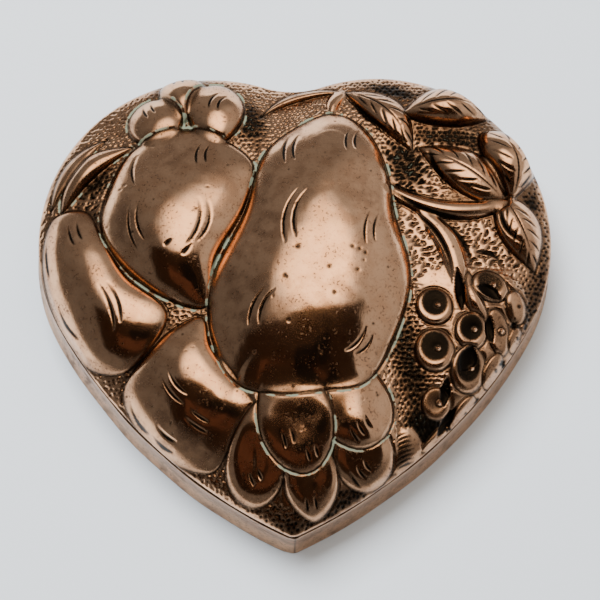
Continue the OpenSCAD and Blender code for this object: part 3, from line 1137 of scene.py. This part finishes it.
def build():
    # The outer band's tarnish of 0.5 is partly painted shade that darkens it
    outside = plain_copper("band_copper", 0.28, 0.5)
    inner = plain_copper("inner_copper", 0.38)
    card, pile = lining_card(), velvet()
    dress(make_lid(), embossed_copper(), "lid", "lid_shell")
    dress(make_wall(), outside, "base", "base_wall")
    dress(make_collar(), inner, "base", "inner_collar")
    dress(make_lining(), pile, "base", "lining_velvet")
    dress(make_pad(), pile, "base", "velvet_pad")
    dress_cad("base_plate", inner)
    dress_cad("lining_card", card)
    dress_cad("pad_board", card)


# ---- floor and light

# Metres: where light and cards point, and the light
LIT_POINT = (0, 0, 0.02)
LIGHT_PLACE, LIGHT_SIZE, LIGHT_POWER = (-0.25, 0.45, 1.05), 0.6, 36.0
ROOM_LEVEL = 0.15
# Tint of the dim parts and of the brightest
ROOM_SHADE, ROOM_LAMP = (0.92, 0.97, 1.04), (1.0, 0.83, 0.65)
# Direction, angle where it starts, angle where it is full, strength
ROOM_GLOWS = [
    ((0.11, 0.21, 1), 37, 6, 3.0),
    ((0.1, 1, 0.5), 75, 10, 0.1),
    ((1, 0.1, 0.6), 60, 8, 0.42),
]
# Dark cards: size, place, colour
CARDS = {
    "viewer_card": ((1.2, 0.56), (0.0, -0.33, 0.48), (0.02, 0.012, 0.008)),
    "camera_card": ((0.2, 0.1), (0.05, -0.19, 0.36), (0.003, 0.003, 0.003)),
    "hand_card": ((0.3, 0.1), (-0.04, -0.25, 0.30), (0.07, 0.034, 0.022)),
}
FLOOR_COLOUR = (0.575, 0.63, 0.69)


def aim(obj):
    """Turn a light or a card towards the lit point."""
    obj.rotation_euler = (Vector(LIT_POINT) - obj.location).to_track_quat("-Z", "Y").to_euler()


def plane(name, size, place):
    """A flat sheet that isn't part of the object."""
    w, h = size[0] / 2, size[1] / 2
    mesh = bpy.data.meshes.new(name)
    mesh.from_pydata([(-w, -h, 0), (w, -h, 0), (w, h, 0), (-w, h, 0)], [], [(0, 1, 2, 3)])
    obj = add_object(name, mesh)
    obj.location = place
    return obj


def flat_material(name, colour, roughness, specular=0.5):
    s = Shade(name, 0.0, roughness)
    s.sockets["Specular IOR Level"].default_value = specular
    s.sockets["Base Color"].default_value = (*colour, 1)
    return s.material


def add_light():
    """A square light that lights the table but doesn't show in the copper."""
    data = bpy.data.lights.new("fill_light", "AREA")
    data.size = LIGHT_SIZE
    data.energy = LIGHT_POWER
    light = add_object("fill_light", data)
    light.location = LIGHT_PLACE
    aim(light)
    light.visible_glossy = False


def add_room():
    """A dim, cool room with a warm glow overhead and no hard edges."""
    world = bpy.data.worlds.new("room")
    room = Nodes(world, "Generated")
    total = ROOM_LEVEL
    for axis, start, full, strength in ROOM_GLOWS:
        dot = room.add("VectorMath")
        dot.operation = "DOT_PRODUCT"
        room.feed(dot.inputs[0], room.coordinates)
        room.feed(dot.inputs[1], Vector(axis).normalized())
        low, high = math.cos(math.radians(start)), math.cos(math.radians(full))
        total = room.maths("ADD", room.between(dot.outputs["Value"], low, high, 0.0, strength), total)
    warmth = room.maths("MULTIPLY", total, 0.4, clamp=True)
    background = room.tree.nodes["Background"]
    room.feed(background.inputs["Color"], room.mix(warmth, ROOM_SHADE, ROOM_LAMP))
    room.feed(background.inputs["Strength"], total)
    bpy.context.scene.world = world


def add_cards():
    """Cards on the viewer's side that show only in reflections."""
    for name, (size, place, colour) in CARDS.items():
        card = plane(name, size, place)
        aim(card)
        card.data.materials.append(flat_material(name, colour, 0.9, 0.0))
        card.visible_camera = card.visible_shadow = card.visible_diffuse = False


def add_stage():
    """Pale table, soft light, and dark cards on the viewer's side."""
    floor = plane("floor", (4, 4), (0, 0, cad_box[0][2] - 0.0001))
    floor.data.materials.append(flat_material("floor", FLOOR_COLOUR, 0.7))
    add_cards()
    add_room()
    add_light()


build()
add_stage()
